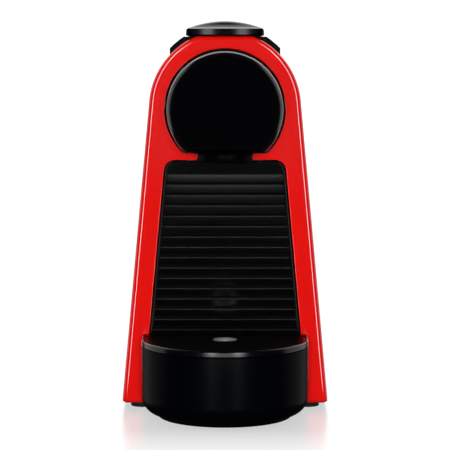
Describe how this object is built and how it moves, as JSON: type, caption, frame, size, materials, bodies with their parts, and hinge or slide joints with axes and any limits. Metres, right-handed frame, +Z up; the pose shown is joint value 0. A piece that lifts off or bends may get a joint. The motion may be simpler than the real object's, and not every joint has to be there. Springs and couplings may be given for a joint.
{
  "type": "pod coffee machine",
  "caption": "Slim pod coffee machine with an arched casing, a round outlet head, a lifting lever, a ribbed drawer with a round drip base, and a water tank at the back.",
  "frame": {"origin": "on the floor under the middle of the outline", "axes": "+Z up, the front with the outlet head and drip base faces -Y, the tank is at +Y, +X to the viewer's right"},
  "size_m": [0.1094, 0.325, 0.2053],
  "materials": {
    "casing_red": "high gloss",
    "deck_black": "fine satin",
    "inner_black": "moulded matte",
    "foot_rubber": "matte",
    "screw_steel": "plain zinc",
    "head_black": "high gloss",
    "spout_black": "semi gloss",
    "pipe_steel": "brushed",
    "inner_grey": "moulded matte",
    "plate_steel": "polished grid",
    "pin_steel": "ground",
    "cast_alloy": "as cast",
    "clamp_steel": "pressed sheet",
    "pump_plastic": "glass filled nylon",
    "coil_wrap": "moulded resin",
    "meter_plastic": "translucent white",
    "board_green": "lacquered laminate",
    "component_black": "epoxy",
    "seal_red": "silicone",
    "hose_clear": "silicone",
    "hose_braid": "braided sleeve",
    "spring_steel": "drawn wire",
    "button_black": "satin",
    "lever_black": "semi gloss",
    "link_alloy": "sintered",
    "cage_alloy": "machined",
    "panel_black": "gloss ribbed",
    "bin_black": "moulded matte",
    "base_black": "semi gloss",
    "support_black": "satin gloss",
    "tank_smoke": "clear smoke plastic",
    "filter_white": "moulded"
  },
  "bodies": {
    "chassis": {"front_bezel": "casing_red", "left_shell": "casing_red", "right_shell": "casing_red", "top_deck": "deck_black", "rear_cover": "inner_black", "base_plate": "inner_black", "rubber_feet": "foot_rubber", "base_screws": "screw_steel", "outlet_head": "head_black", "head_cap": "head_black", "coffee_spout": "spout_black", "coffee_pipe": "pipe_steel", "capsule_chute": "inner_grey", "brew_frame": "inner_grey", "frame_screws": "screw_steel", "extraction_plate": "plate_steel", "lever_pivots": "pin_steel", "thermoblock": "cast_alloy", "thermoblock_clamp": "clamp_steel", "pump_body": "pump_plastic", "pump_coil": "coil_wrap", "pump_bracket": "clamp_steel", "pump_mounts": "foot_rubber", "flow_meter": "meter_plastic", "control_board": "board_green", "board_components": "component_black", "micro_switches": "component_black", "tank_socket": "inner_grey", "socket_seal": "seal_red", "cord_gland": "foot_rubber", "suction_hose": "hose_clear", "feed_hose": "hose_clear", "pressure_hose": "hose_clear", "brew_hose": "hose_braid", "espresso_spring": "spring_steel", "lungo_spring": "spring_steel"},
    "espresso_button": {"espresso_button": "button_black"},
    "lungo_button": {"lungo_button": "button_black"},
    "lever": {"lever": "lever_black", "crank_pin": "pin_steel"},
    "toggle_link": {"toggle_link": "link_alloy", "link_pin": "pin_steel"},
    "brew_piston": {"brew_piston": "inner_grey", "capsule_cage": "cage_alloy", "cage_needles": "pin_steel", "piston_seal": "seal_red"},
    "drawer": {"front_panel": "panel_black", "capsule_bin": "bin_black", "drip_base": "base_black"},
    "cup_support": {"cup_support": "support_black"},
    "water_tank": {"water_tank": "tank_smoke", "tank_valve": "inner_black", "tank_filter": "filter_white", "lid_pin": "pin_steel"},
    "tank_lid": {"tank_lid": "deck_black"}
  },
  "joints": [
    {"name": "lever_lift", "type": "hinge", "parent": "chassis", "child": "lever", "pos_m": [0, 0.016, 0.159], "axis": [-1, 0, 0], "range_deg": [0, 65]},
    {"name": "link_swing", "type": "hinge", "parent": "lever", "child": "toggle_link", "pos_m": [0, 0.0056, 0.1737], "axis": [-1, 0, 0], "range_deg": [-102, 0]},
    {"name": "piston_slide", "type": "slide", "parent": "chassis", "child": "brew_piston", "axis": [0, 1, 0], "range_m": [0, 0.0335], "deforming": ["brew_hose"]},
    {"name": "espresso_press", "type": "slide", "parent": "chassis", "child": "espresso_button", "axis": [0.635, 0, -0.7725], "range_m": [0, 0.001], "stiffness_N_per_m": 400, "springref_m": -0.0005, "deforming": ["espresso_spring"]},
    {"name": "lungo_press", "type": "slide", "parent": "chassis", "child": "lungo_button", "axis": [-0.635, 0, -0.7725], "range_m": [0, 0.001], "stiffness_N_per_m": 400, "springref_m": -0.0005, "deforming": ["lungo_spring"]},
    {"name": "drawer_slide", "type": "slide", "parent": "chassis", "child": "drawer", "axis": [0, -1, 0], "range_m": [0, 0.12]},
    {"name": "cup_support_lift", "type": "slide", "parent": "drawer", "child": "cup_support", "axis": [0, 0, 1], "range_m": [0, 0.03]},
    {"name": "tank_lift", "type": "slide", "parent": "chassis", "child": "water_tank", "axis": [0, 0, 1], "range_m": [0, 0.15]},
    {"name": "lid_swing", "type": "hinge", "parent": "water_tank", "child": "tank_lid", "pos_m": [0, 0.1594, 0.1888], "axis": [-1, 0, 0], "range_deg": [0, 95]}
  ],
  "couplings": [
    {"joint": "link_swing", "follows": "lever_lift", "ratio": -1.535},
    {"joint": "piston_slide", "follows": "lever_lift", "m_per_rad": 0.029089}
  ]
}
